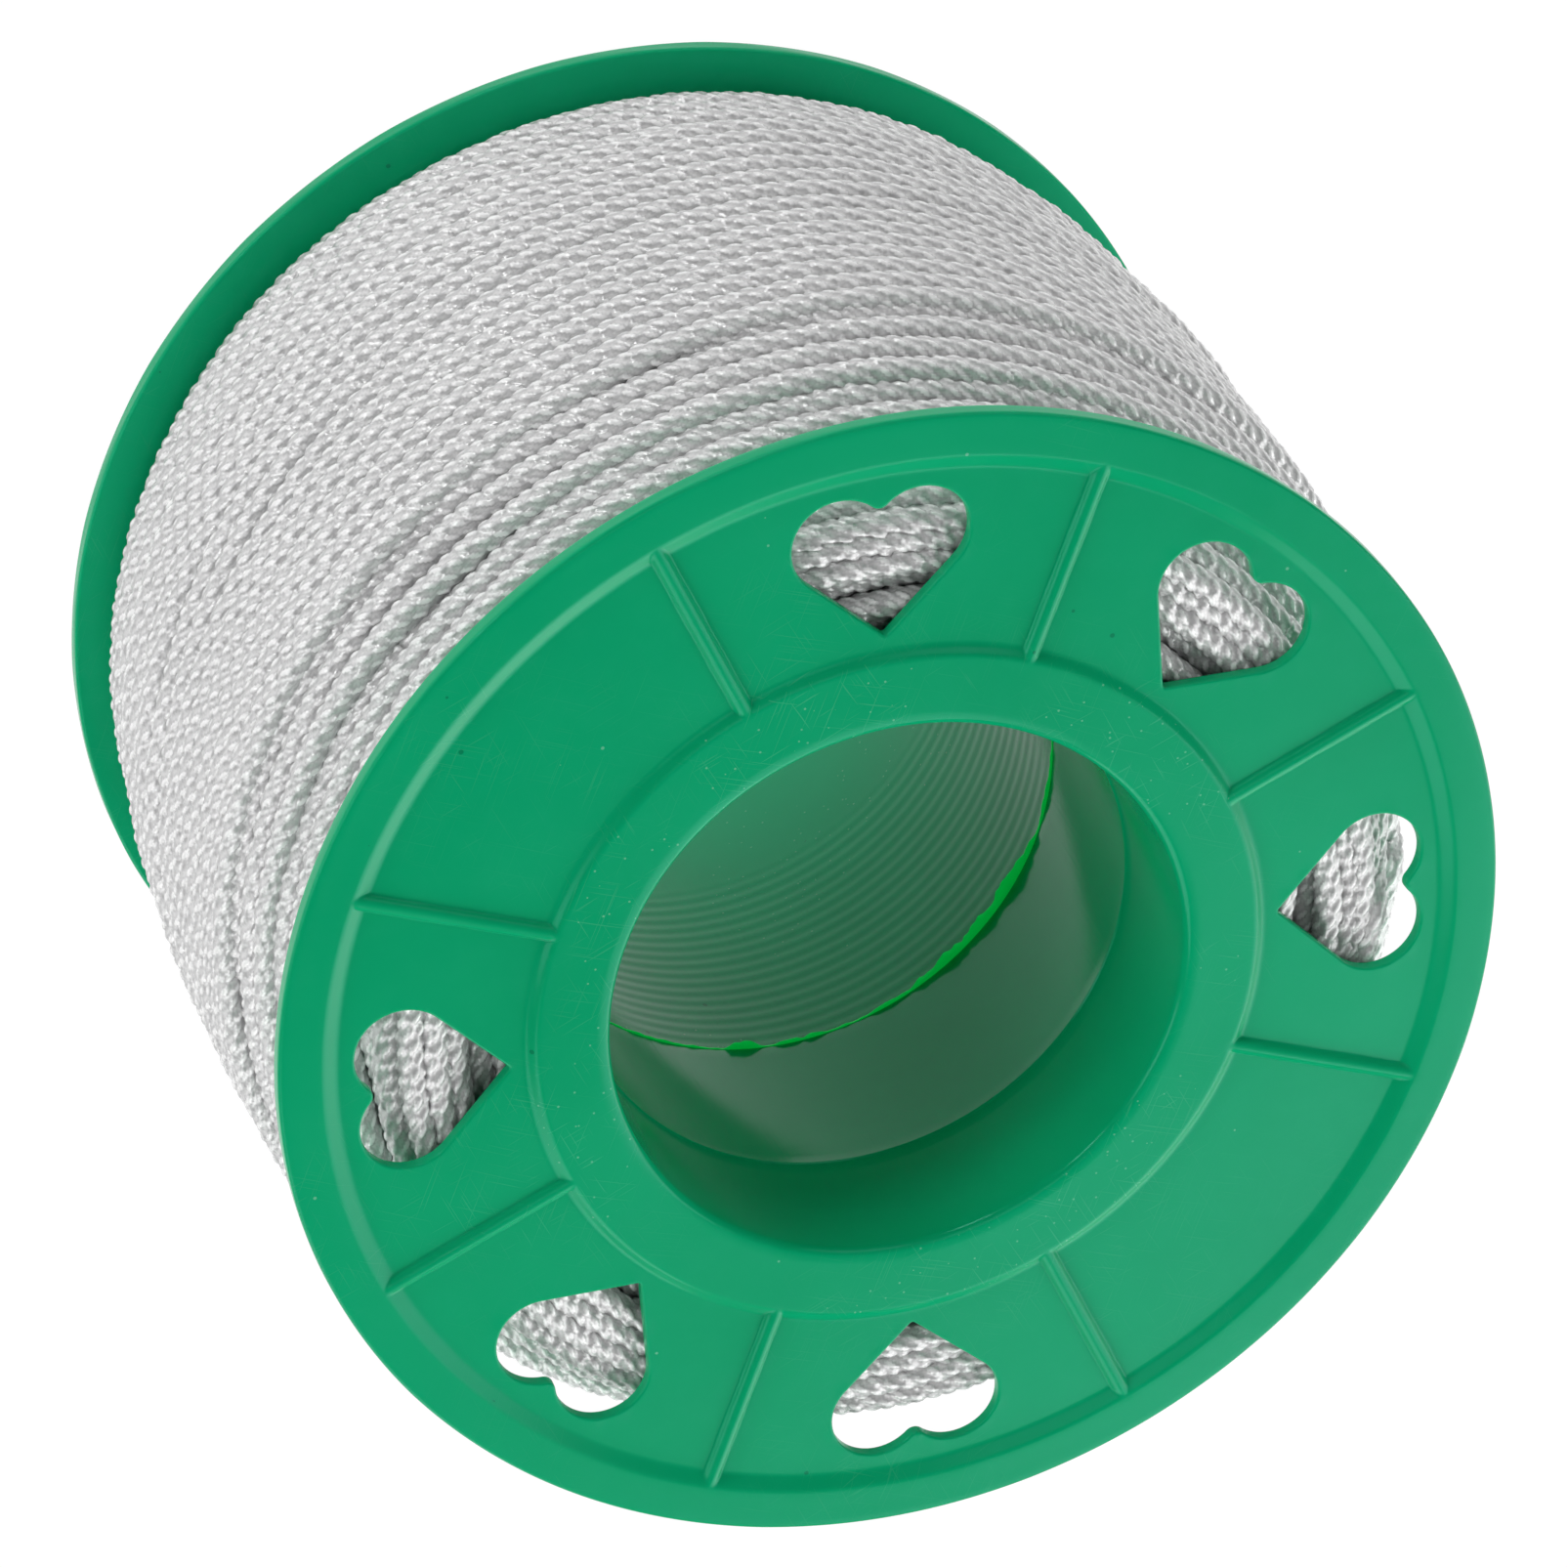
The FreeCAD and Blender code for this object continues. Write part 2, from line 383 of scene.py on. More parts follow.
def fine_run(i0, i1, salt):
    """One stretch of cord, from sample i0 to i1, as rings of vertices; returns points (rings, m, 3), s (rings,) and phi."""
    a0, a1 = ARC[i0], ARC[min(i1, NS - 1)]
    n = max(6, int(round((a1 - a0) / 0.27)))
    s = np.linspace(a0, a1, n)
    f = np.interp(s, ARC, np.arange(NS))
    r = np.interp(f, np.arange(NS), CR)
    z = np.interp(f, np.arange(NS), CZ)
    th = f * TAU / NT
    c = np.stack([r * np.cos(th), r * np.sin(th), z], 1)
    tan = np.gradient(c, axis=0)
    tan /= np.linalg.norm(tan, axis=1, keepdims=True)
    rad = np.stack([np.cos(th), np.sin(th), np.zeros_like(th)], 1)
    nor = rad - tan * (rad * tan).sum(1, keepdims=True)
    nor /= np.linalg.norm(nor, axis=1, keepdims=True)
    bi = np.cross(nor, tan)
    mid = float(np.mean(z))
    centre = 0.0
    if mid > Z_HI - 4.5 and r.mean() < 40.0:
        centre = 75.0
    elif mid > Z_HI - 14.0:
        centre = 30.0
    elif mid < Z_LO + 4.5 and r.mean() < 44.0:
        centre = -75.0
    elif mid < Z_LO + 6.0:
        centre = -20.0
    phi = ring_angles(centre)
    # the cord turns slowly about itself as it is laid
    twist = 0.020 * s + 1.3 * np.sin(s * 0.011 + salt)
    S = np.repeat(s[:, None], len(phi), 1)
    F = phi[None, :] + twist[:, None]
    h = braid(S, F, salt)
    swell = 0.03 * np.sin(s * 0.9 + salt)[:, None]
    R = CORE + h + swell
    P = c[:, None, :] + R[:, :, None] * (np.cos(phi)[None, :, None] * nor[:, None, :] + np.sin(phi)[None, :, None] * bi[:, None, :])
    return P, s, phi, F, h


def cord_piece(name, runs, salt):
    """One mesh from several stretches, each a closed tube with capped ends."""
    verts, quads, tris = [], [], []
    uq, ut, hq = [], [], []
    cq, ct = [], []
    base = 0
    strips = []
    for i0, i1 in runs:
        P, s, phi, F, h = fine_run(i0, i1, salt)
        strips.append((P, s, phi, F, h))
    m = strips[0][0].shape[1]
    # the bake's map: every stretch cut into rows of the same length
    per_row = 420
    rows = sum(int(math.ceil((st[0].shape[0] - 1) / per_row)) for st in strips)
    row = 0
    shade = []
    for P, s, phi, F, h in strips:
        n = P.shape[0]
        ids = base + np.arange(n * m).reshape(n, m)
        ends = P[[0, -1]].mean(1)
        verts.append(P.reshape(-1, 3))
        verts.append(ends)
        shade.append(h.ravel())
        shade.append(np.zeros(2))
        e0, e1 = base + n * m, base + n * m + 1
        base += n * m + 2
        a = ids[:-1, :]
        b = ids[1:, :]
        a2 = np.roll(a, -1, 1)
        b2 = np.roll(b, -1, 1)
        quads.append(np.stack([a, a2, b2, b], -1).reshape(-1, 4))
        i = np.arange(n - 1)
        rr = row + i // per_row
        u0 = (i % per_row) / per_row * 0.995
        u1 = ((i % per_row) + 1) / per_row * 0.995
        v = np.arange(m + 1) / m
        vv0 = (rr[:, None] + 0.04 + 0.92 * v[None, :m]) / rows
        vv1 = (rr[:, None] + 0.04 + 0.92 * v[None, 1:]) / rows
        U0 = np.repeat(u0[:, None], m, 1)
        U1 = np.repeat(u1[:, None], m, 1)
        uq.append(np.stack([np.stack([U0, vv0], -1), np.stack([U0, vv1], -1), np.stack([U1, vv1], -1), np.stack([U1, vv0], -1)], 2).reshape(-1, 2))
        # the yarn's own coordinates, in millimetres
        ph = np.concatenate([phi, [phi[0] + TAU]])
        tw = F[:, 0] - phi[0]
        Q0 = (ph[None, :m] + tw[:-1, None]) * 1.25
        Q0b = (ph[None, :m] + tw[1:, None]) * 1.25
        Q1 = (ph[None, 1:] + tw[:-1, None]) * 1.25
        Q1b = (ph[None, 1:] + tw[1:, None]) * 1.25
        S0 = np.repeat(s[:-1, None] % 1000.0, m, 1)
        S1 = np.repeat((s[:-1, None] % 1000.0) + (s[1:, None] - s[:-1, None]), m, 1)
        cq.append(np.stack([np.stack([S0, Q0], -1), np.stack([S0, Q1], -1), np.stack([S1, Q1b], -1), np.stack([S1, Q0b], -1)], 2).reshape(-1, 2))
        row += int(math.ceil((n - 1) / per_row))
        first, last = ids[0], ids[-1]
        tris.append(np.stack([np.full(m, e0), np.roll(first, -1), first], 1))
        tris.append(np.stack([np.full(m, e1), last, np.roll(last, -1)], 1))
        ut.append(np.full((2 * m * 3, 2), 0.9985))
        ct.append(np.full((2 * m * 3, 2), 0.0))
    uv = {"OFBake": np.concatenate(uq + ut), "yarn": np.concatenate(cq + ct)}
    ob = mesh_object(name, np.concatenate(verts), np.concatenate(quads), np.concatenate(tris), uv)
    # the stitch height over the core, which the cord's material turns into a painted highlight on each crown and
    # painted light in the hollows
    hollow = ob.data.attributes.new("rise", "FLOAT", "POINT")
    hollow.data.foreach_set("value", (np.concatenate(shade) / DASH_H).astype(np.float32))
    return ob


def coarse_piece(name, runs, step=6, m=8, radius=1.08):
    verts, quads, tris = [], [], []
    base = 0
    for i0, i1 in runs:
        idx = np.unique(np.concatenate([np.arange(i0, i1, step), [i1 - 1]]))
        if len(idx) < 2:
            continue
        c = PATH[idx]
        th = CTH[idx]
        tan = np.gradient(c, axis=0)
        tan /= np.linalg.norm(tan, axis=1, keepdims=True)
        rad = np.stack([np.cos(th), np.sin(th), np.zeros_like(th)], 1)
        nor = rad - tan * (rad * tan).sum(1, keepdims=True)
        nor /= np.linalg.norm(nor, axis=1, keepdims=True)
        bi = np.cross(nor, tan)
        phi = np.arange(m) * TAU / m
        P = c[:, None, :] + radius * (np.cos(phi)[None, :, None] * nor[:, None, :] + np.sin(phi)[None, :, None] * bi[:, None, :])
        n = len(idx)
        ids = base + np.arange(n * m).reshape(n, m)
        verts.append(P.reshape(-1, 3))
        verts.append(c[[0, -1]])
        e0, e1 = base + n * m, base + n * m + 1
        base += n * m + 2
        a, b = ids[:-1], ids[1:]
        quads.append(np.stack([a, np.roll(a, -1, 1), np.roll(b, -1, 1), b], -1).reshape(-1, 4))
        tris.append(np.stack([np.full(m, e0), np.roll(ids[0], -1), ids[0]], 1))
        tris.append(np.stack([np.full(m, e1), ids[-1], np.roll(ids[-1], -1)], 1))
    return mesh_object(name, np.concatenate(verts), np.concatenate(quads), np.concatenate(tris))


def batches(runs, limit, cost):
    out, now, size = [], [], 0
    for i0, i1 in runs:
        i = i0
        while i < i1:
            # a long stretch is cut where a piece is full; the next piece starts a little before, so that no gap shows
            room = limit - size
            length = i1 - i
            need = cost(length)
            if need <= room:
                now.append((i, i1))
                size += need
                i = i1
            else:
                part = int(length * room / need)
                if part > 80:
                    now.append((i, i + part))
                    i += part - 1
                out.append(now)
                now, size = [], 0
    if now:
        out.append(now)
    return [b for b in out if b]


line_pieces = []
fine_runs = [(a, b) for a, b in runs_of(fine) if b - a > 14]
short = [(a, b) for a, b in runs_of(fine) if b - a <= 14]
for a, b in short:
    coarse[a:b] = True
per_sample = 0.39 / 0.27 * 26 * 2
for n, group in enumerate(batches(fine_runs, 190000, lambda k: k * per_sample)):
    line_pieces.append(cord_piece("line_turns_%02d" % (n + 1), group, 1.7 * n + 0.3))
coarse_runs = [(a, b) for a, b in runs_of(coarse) if b - a > 3]
for n, group in enumerate(batches(coarse_runs, 190000, lambda k: k / 6.0 * 16)):
    line_pieces.append(coarse_piece("line_inner_%02d" % (n + 1), group))
print("fine samples %.2f of all, pieces %d" % (fine.mean(), len(line_pieces)))


# ------------------------------------------------------------------ the moulded halves
def sector_angles():
    """Angles of one 45 degree sector from rib to rib, close together at the ribs."""
    near = np.arange(0, 2.2, 0.16)
    part = np.concatenate([near, np.linspace(2.24, 10.0, 11)[:-1], np.linspace(10.0, 35.0, 37)])
    tail = 45.0 - np.concatenate([near, np.linspace(2.24, 10.0, 11)[:-1]])[::-1]
    a = np.concatenate([part, tail])
    return a[:-1] if abs(a[-1] - 45.0) < 1e-9 else a


SECTOR = sector_angles()
SECTOR = SECTOR[SECTOR < 44.999]
NSEC = len(SECTOR)
ANG = np.radians(np.concatenate([SECTOR + 25.0 + 45.0 * k for k in range(8)]))     # sector k runs from the rib at 25+45k
NA = len(ANG)
BOX_LO = int(np.argmin(abs(SECTOR - 10.0)))
BOX_HI = int(np.argmin(abs(SECTOR - 35.0)))

_tab_r = np.arange(20.0, 55.0, 0.01)
_tab_z = np.interp(_tab_r, [20.0, 29.55, 30.3, 45.3, 46.45, 55.0], [0.0, 0.0, -FIELD, -FIELD, 0.0, 0.0])
_tab_z = smooth(_tab_z, 13)


def heart_ring(delta, step=0.33):
    """The heart's outline pushed outwards by delta, in its own frame (u from the axis outwards, v across)."""
    dist = math.hypot(LOBE_U - TIP_U, LOBE_V)
    half = math.atan2(LOBE_V, LOBE_U - TIP_U) + math.asin(LOBE_R / dist)
    tip_c = TIP_U + TIP_R / math.sin(half)
    nc = LOBE_U + math.sqrt((LOBE_R + NOTCH_R) ** 2 - LOBE_V ** 2)
    an = math.atan2(LOBE_V, nc - LOBE_U)
    side = math.pi / 2 + half

    def arc(cu, cv, r, a0, a1, n):
        t = np.linspace(a0, a1, n + 1)[:-1]
        return np.stack([cu + r * np.cos(t), cv + r * np.sin(t)], 1)

    tip = arc(tip_c, 0, TIP_R + delta, TAU - side, side, 6)
    p0 = np.array([tip_c + (TIP_R + delta) * math.cos(side), (TIP_R + delta) * math.sin(side)])
    p1 = np.array([LOBE_U + (LOBE_R + delta) * math.cos(side), LOBE_V + (LOBE_R + delta) * math.sin(side)])
    nl = 22
    up_line = p0 + (p1 - p0) * (np.arange(nl) / nl)[:, None]
    up_lobe = arc(LOBE_U, LOBE_V, LOBE_R + delta, side, -an, 36)
    notch = arc(nc, 0, NOTCH_R - delta, math.pi - an, math.pi + an, 10)
    lo_lobe = arc(LOBE_U, -LOBE_V, LOBE_R + delta, an, -side, 36)
    q0, q1 = p1 * (1, -1), p0 * (1, -1)
    lo_line = q0 + (q1 - q0) * (np.arange(nl) / nl)[:, None]
    return np.concatenate([tip, up_line, up_lobe, notch, lo_lobe, lo_line])


def inside_poly(pts, poly):
    x, y = pts[:, 0:1], pts[:, 1:2]
    x0, y0 = poly[:, 0][None], poly[:, 1][None]
    x1, y1 = np.roll(poly[:, 0], -1)[None], np.roll(poly[:, 1], -1)[None]
    with np.errstate(divide="ignore", invalid="ignore"):
        cross = ((y0 > y) != (y1 > y)) & (x < (x1 - x0) * (y - y0) / (y1 - y0) + x0)
    return cross.sum(1) % 2 == 1


def patch(levels, ring):
    """Triangles between the sector's box and the heart's outer ring. Vertices: box points in order (level-major grid boundary), free points, ring."""
    ang = np.radians(SECTOR[BOX_LO:BOX_HI + 1] - 22.5)
    nl, na = len(levels), len(ang)
    border = [(0, j) for j in range(na)] + [(i, na - 1) for i in range(1, nl)] + [(nl - 1, j) for j in range(na - 2, -1, -1)] + [(i, 0) for i in range(nl - 2, 0, -1)]
    bpts = np.array([(levels[i] * math.cos(ang[j]), levels[i] * math.sin(ang[j])) for i, j in border])
    # free points: the inner grid points that stand clear of the ring and of the border
    free = []
    for i in range(1, nl - 1):
        for j in range(2, na - 2, 2):
            p = np.array([levels[i] * math.cos(ang[j]), levels[i] * math.sin(ang[j])])
            free.append(p)
    free = np.array(free)
    keep = ~inside_poly(free, ring)
    near = np.array([np.hypot(*(ring - p).T).min() > 0.45 for p in free])
    free = free[keep & near]
    pts = np.concatenate([bpts, free, ring])
    nb, nf, nr = len(bpts), len(free), len(ring)
    edges = [(k, (k + 1) % nb) for k in range(nb)] + [(nb + nf + k, nb + nf + (k + 1) % nr) for k in range(nr)]
    out = delaunay_2d_cdt([Vector(p) for p in pts], edges, [], 0, 1e-7)
    vo = np.array([tuple(v) for v in out[0]])
    back = [o[0] if len(o) else -1 for o in out[3]]
    tri = np.array([f for f in out[2] if len(f) == 3])
    cen = vo[tri].mean(1)
    ok = inside_poly(cen, bpts) & ~inside_poly(cen, ring)
    tri = np.array(back)[tri[ok]]
    area = np.cross(pts[tri[:, 1]] - pts[tri[:, 0]], pts[tri[:, 2]] - pts[tri[:, 0]])
    tri, area = tri[abs(area) > 2e-3], area[abs(area) > 2e-3]
    flip = area < 0
    tri[flip] = tri[flip][:, ::-1]
    return border, free, tri[(tri >= 0).all(1)], nb, nf, nr


def face_noise(r, th, rng_pack):
    z = np.zeros_like(r)
    for a, m, p, k, q in rng_pack:
        z += a * np.cos(m * th + p) * np.cos(k * r + q)
    return z


def moulding(name, hub_profile, seed, place):
    """One moulded half. Its outer face is on z = 0 with the body below; place() puts it in the frame."""
    rng = np.random.default_rng(seed)
    pack = [(0.007 * rng.normal(), int(rng.integers(1, 7)), rng.uniform(0, TAU), rng.uniform(0.05, 0.35), rng.uniform(0, TAU)) for _ in range(14)]
    burr = [(rng.normal(), int(m), rng.uniform(0, TAU)) for m in (3, 5, 8, 13, 21)]

    V, Q, T = [], [], []
    UQ, UT = [], []
    GQ, GT = [], []
    count = [0]

    def add(points):
        ids = count[0] + np.arange(len(points))
        V.append(np.asarray(points, float))
        count[0] += len(points)
        return ids

    def top_z(r, th):
        z = np.interp(r, _tab_r, _tab_z)
        d = (np.degrees(th) - 25.0 + 22.5) % 45.0 - 22.5
        d = np.radians(d)
        t = r * np.sin(d)
        u = r * np.cos(d)
        ends = np.clip((RIB_IN - u) / 0.7, 0, None) ** 2 + np.clip((u - RIB_OUT) / 0.7, 0, None) ** 2
        zr = -FIELD - RIB_SINK + np.sqrt(np.maximum(RIB_R ** 2 - t ** 2, 0)) - 3.0 * np.maximum(abs(t) - RIB_R, 0) - ends * 0.6
        k = 0.10
        z = 0.5 * (z + zr + np.sqrt((z - zr) ** 2 + k * k)) - 0.5 * k * np.exp(-((z - zr) / 0.35) ** 2) * 0.5
        fade = np.clip((r - 24.5) / 1.0, 0, 1) * np.clip((49.4 - r) / 0.6, 0, 1)
        return z + face_noise(r, th, pack) * fade

    # levels of the outer face
    box_in, box_out = 30.95, 44.95
    inner_l = np.concatenate([[hub_profile[0][0] + BORE_MOUTH], np.linspace(hub_profile[0][0] + BORE_MOUTH + 0.5, 28.9, 5), np.linspace(29.15, 30.75, 13)])
    mid_l = np.linspace(box_in, box_out, 20)
    outer_l = np.concatenate([np.linspace(45.1, 46.7, 13), np.linspace(47.3, 49.2, 4), [FLANGE_R - 0.32]])
    levels = np.concatenate([inner_l, mid_l, outer_l])
    b0, b1 = len(inner_l), len(inner_l) + len(mid_l) - 1

    def grid_face(levels, b0, b1, zfun, up, group):
        R = np.repeat(levels[:, None], NA, 1)
        A = np.repeat(ANG[None, :], len(levels), 0)
        pts = np.stack([R * np.cos(A), R * np.sin(A), zfun(R, A)], -1)
        ids = add(pts.reshape(-1, 3)).reshape(len(levels), NA)
        nxt = np.roll(ids, -1, 1)
        q = np.stack([ids[:-1], ids[1:], nxt[1:], nxt[:-1]], -1)        # faces up for growing angle
        keep = np.ones(q.shape[:2], bool)
        for k in range(8):
            az = 25.0 + 45.0 * k + 22.5
            if any(abs((az - h + 180) % 360 - 180) < 1 for h in HEARTS):
                j0, j1 = k * NSEC + BOX_LO, k * NSEC + BOX_HI
                keep[b0:b1, j0:j1] = False
        q = q[keep]
        if not up:
            q = q[:, ::-1]
        Q.append(q)
        GQ.append(np.full(len(q), group))
        return ids

    ids_top = grid_face(levels, b0, b1, top_z, True, 0)
    low_levels = np.concatenate([[HUB_R], [28.0], np.linspace(box_in, box_out, 11), [47.0, FLANGE_R - 0.32]])
    c0, c1 = 2, 12

    def low_z(r, th):
        return np.full_like(r, -RIM_T) + face_noise(r, th, pack) * 0.6 * np.clip((r - 26.0) / 2.0, 0, 1) * np.clip((49.4 - r) / 0.8, 0, 1)

    ids_low = grid_face(low_levels, c0, c1, low_z, False, 1)

    # hearts: the patch round each on both faces, then the rounded edge and the wall
    ring_top = heart_ring(0.60)
    ring_low = heart_ring(0.30)
    border_t, free_t, tri_t, nb_t, nf_t, nr = patch(levels[b0:b1 + 1], ring_top)
    border_l, free_l, tri_l, nb_l, nf_l, _ = patch(low_levels[c0:c1 + 1], ring_low)
    fil = 0.20
    steps = [(0.40, 0.0), (0.26, 0.0)]
    steps += [(0.02 + fil * (1 - math.sin(t)), -fil * (1 - math.cos(t))) for t in np.linspace(0.0, math.pi / 2, 6)]
    wall = [(0.015, -0.45), (0.0, -0.75), (0.005, -0.92)]
    for h in HEARTS:
        k = int(round((h - 22.5 - 25.0) / 45.0)) % 8
        az = math.radians(25.0 + 45.0 * k + 22.5)
        ca, sa = math.cos(az), math.sin(az)
        lip = sum(a * np.cos(m * np.linspace(0, TAU, nr, endpoint=False) + p + h) for a, m, p in burr) / 3.0

        def world(uv):
            return np.stack([uv[:, 0] * ca - uv[:, 1] * sa, uv[:, 0] * sa + uv[:, 1] * ca], 1)

        def put(uv, z):
            xy = world(uv)
            if z is None:
                z = top_z(np.hypot(*xy.T), np.arctan2(xy[:, 1], xy[:, 0]))
            return add(np.column_stack([xy, z]))

        j0 = k * NSEC + BOX_LO
        bt = np.array([ids_top[b0 + i, (j0 + j) % NA] for i, j in border_t])
        ft = put(free_t, None)
        rt = put(ring_top, None)
        allid = np.concatenate([bt, ft, rt])
        T.append(allid[tri_t])
        GT.append(np.full(len(tri_t), 0))
        bl = np.array([ids_low[c0 + i, (j0 + j) % NA] for i, j in border_l])
        xyf = world(free_l)
        fl = add(np.column_stack([xyf, low_z(np.hypot(*xyf.T), np.arctan2(xyf[:, 1], xyf[:, 0]))]))
        xyr = world(ring_low)
        rl = add(np.column_stack([xyr, low_z(np.hypot(*xyr.T), np.arctan2(xyr[:, 1], xyr[:, 0]))]))
        allid = np.concatenate([bl, fl, rl])
        T.append(allid[tri_l][:, ::-1])
        GT.append(np.full(len(tri_l), 1))
        prev = rt
        chain = [(d, dz, 0.022 * np.clip(lip, 0, 1.5) if 0.2 < d < 0.45 else 0.0) for d, dz in steps + wall]
        for d, dz, extra in chain:
            uvp = heart_ring(d)
            xy = world(uvp)
            z = top_z(np.hypot(*xy.T), np.arctan2(xy[:, 1], xy[:, 0])) + dz + extra
            now = add(np.column_stack([xy, z]))
            Q.append(np.stack([prev, np.roll(prev, -1), np.roll(now, -1), now], 1)[:, ::-1])
            GQ.append(np.full(nr, 2))
            prev = now
        for d, z in ((0.02, -RIM_T + 0.05), (0.08, -RIM_T + 0.0)):
            xy = world(heart_ring(d))
            now = add(np.column_stack([xy, np.full(nr, z)]))
            Q.append(np.stack([prev, np.roll(prev, -1), np.roll(now, -1), now], 1)[:, ::-1])
            GQ.append(np.full(nr, 2))
            prev = now
        Q.append(np.stack([prev, np.roll(prev, -1), np.roll(rl, -1), rl], 1)[:, ::-1])
        GQ.append(np.full(nr, 1))

    def turned(first, profile, last, group, ripple=None):
        """Rings from the ring of ids first through the profile's points to the ring last."""
        prev = first
        for n, (r, z) in enumerate(profile):
            rr = np.full(NA, r)
            if ripple is not None:
                rr = rr + ripple(r, z, ANG)
            now = add(np.stack([rr * np.cos(ANG), rr * np.sin(ANG), np.full(NA, z)], 1))
            Q.append(np.stack([prev, now, np.roll(now, -1), np.roll(prev, -1)], 1))
            GQ.append(np.full(NA, group))
            prev = now
        Q.append(np.stack([prev, last, np.roll(last, -1), np.roll(prev, -1)], 1))
        GQ.append(np.full(NA, group))

    # rim
    e = 0.32
    rim = [(FLANGE_R - e + e * math.sin(t), -e + e * math.cos(t)) for t in np.linspace(0.3, math.pi / 2, 5)]
    rim += [(FLANGE_R, z) for z in (-0.55, -0.8, -1.05)]
    rim += [(FLANGE_R - e + e * math.cos(t), -RIM_T + e - e * math.sin(t)) for t in np.linspace(0.0, math.pi / 2 - 0.3, 5)]
    rim_rng = [(rng.normal() * 0.012, int(rng.integers(2, 12)), rng.uniform(0, TAU)) for _ in range(6)]
    turned(ids_top[-1], rim, ids_low[-1], 3, lambda r, z, a: -abs(sum(c * np.cos(m * a + p + 2 * z) for c, m, p in rim_rng)) * (r > 49.9))
    # bore, inner end and outside of the hub, given from the bore's mouth down and round to the flange's inner face
    turned(ids_low[0], list(reversed(hub_profile)), ids_top[0], 4)

    V_ = np.concatenate(V)
    Q_ = np.concatenate(Q)
    T_ = np.concatenate(T)
    GQ_, GT_ = np.concatenate(GQ), np.concatenate(GT)

    # map for baking: outer face and inner face flat, the rest unrolled
    def uv_of(idx, groups):
        P = V_[idx]
        cx, cy = P[..., 0], P[..., 1]
        r = np.hypot(cx, cy)
        a = np.arctan2(cy, cx)
        a0 = a[:, :1]
        a = a0 + (a - a0 + math.pi) % TAU - math.pi
        out = np.zeros(P.shape[:2] + (2,))
        g = groups[:, None]
        flat0 = np.stack([0.25 + cx / 50.5 * 0.245, 0.75 + cy / 50.5 * 0.245], -1)
        flat1 = np.stack([0.75 + cx / 50.5 * 0.245, 0.75 + cy / 50.5 * 0.245], -1)
        ua = (a % TAU) / TAU
        base = (a0 % TAU) / TAU
        ua = base + (a - a0) / TAU
        depth = np.clip(-P[..., 2] / 50.0, 0, 1)
        # the bore and the hub's outside lie in different bands
        inside = (r.mean(1, keepdims=True) < 24.6)
        band_b = np.stack([0.01 + 0.97 * ua, 0.01 + 0.20 * depth], -1)
        band_h = np.stack([0.01 + 0.97 * ua, 0.22 + 0.20 * depth], -1)
        band_r = np.stack([0.01 + 0.97 * ua, 0.43 + 0.02 * np.clip(-P[..., 2] / 1.6, 0, 1)], -1)
        wall_ = np.stack([0.01 + 0.97 * ua, 0.455 + 0.035 * (((r - 31.0) / 14.0).clip(0, 1))], -1)
        out = np.where((g == 0)[..., None], flat0, out)
        out = np.where((g == 1)[..., None], flat1, out)
        out = np.where((g == 2)[..., None], wall_, out)
        out = np.where((g == 3)[..., None], band_r, out)
        out = np.where(((g == 4) & inside)[..., None], band_b, out)
        out = np.where(((g == 4) & ~inside)[..., None], band_h, out)
        return out.reshape(-1, 2)

    uv = {"OFBake": np.concatenate([uv_of(Q_, GQ_), uv_of(T_, GT_)])}
    return mesh_object(name, place(V_), Q_, T_, uv)


def arc_pts(cr, cz, radius, d0, d1, n):
    return [(cr + radius * math.cos(math.radians(d)), cz + radius * math.sin(math.radians(d))) for d in np.linspace(d0, d1, n)]


# profile of the front half's bore and hub, from just below the mouth's rounding, down, and back up the outside
front_profile = arc_pts(23.575 + BORE_MOUTH, -BORE_MOUTH, BORE_MOUTH, 100, 180, 7)
front_profile += [(23.575 - 0.300 * t, -0.7 - 12.05 * t) for t in np.linspace(0.08, 1.0, 9)]
front_profile += [(23.25, -12.80), (23.16, -12.86), (23.14, -12.92), (23.30, -13.02), (23.33, -13.2)]
front_profile += [(23.33 + 0.57 * t, -13.2 - 19.0 * t) for t in np.linspace(0.06, 1.0, 13)]
front_profile += [(23.93, -32.42), (24.0, -JOINT), (24.74, -JOINT), (24.8, -JOINT + 0.06), (24.8, -JOINT + LAP), (HUB_R - 0.05, -JOINT + LAP), (HUB_R, -JOINT + LAP + 0.05), (HUB_R, -16.0), (HUB_R, -4.0)]

rear_len = LENGTH - (JOINT - LAP)
foot = LENGTH - JOINT
rear_profile = arc_pts(24.25 + BORE_MOUTH, -BORE_MOUTH, BORE_MOUTH, 100, 180, 7)
zz = np.arange(-1.2, -foot, -0.25)
soft = 0.020 * np.cos(TAU * (zz + foot) / 1.55) * np.clip((-zz - 12.0) / 3.0, 0, 1)
rear_profile += [(24.25 + s, z) for s, z in zip(soft, zz)]
rear_profile += [(24.25, -foot + 0.02), (24.83, -foot), (24.83, -rear_len + 0.06), (24.88, -rear_len), (HUB_R - 0.05, -rear_len), (HUB_R, -rear_len + 0.05), (HUB_R, -30.0), (HUB_R, -12.0), (HUB_R, -4.0)]


def place_front(v):
    out = v.copy()
    out[:, 2] += LENGTH
    return out


def place_rear(v):
    a = math.radians(47.5)
    c, s = math.cos(2 * a), math.sin(2 * a)
    return np.stack([v[:, 0] * c + v[:, 1] * s, v[:, 0] * s - v[:, 1] * c, -v[:, 2]], 1)


front = moulding("spool_front_half", front_profile, 11, place_front)
rear = moulding("spool_rear_half", rear_profile, 23, place_rear)


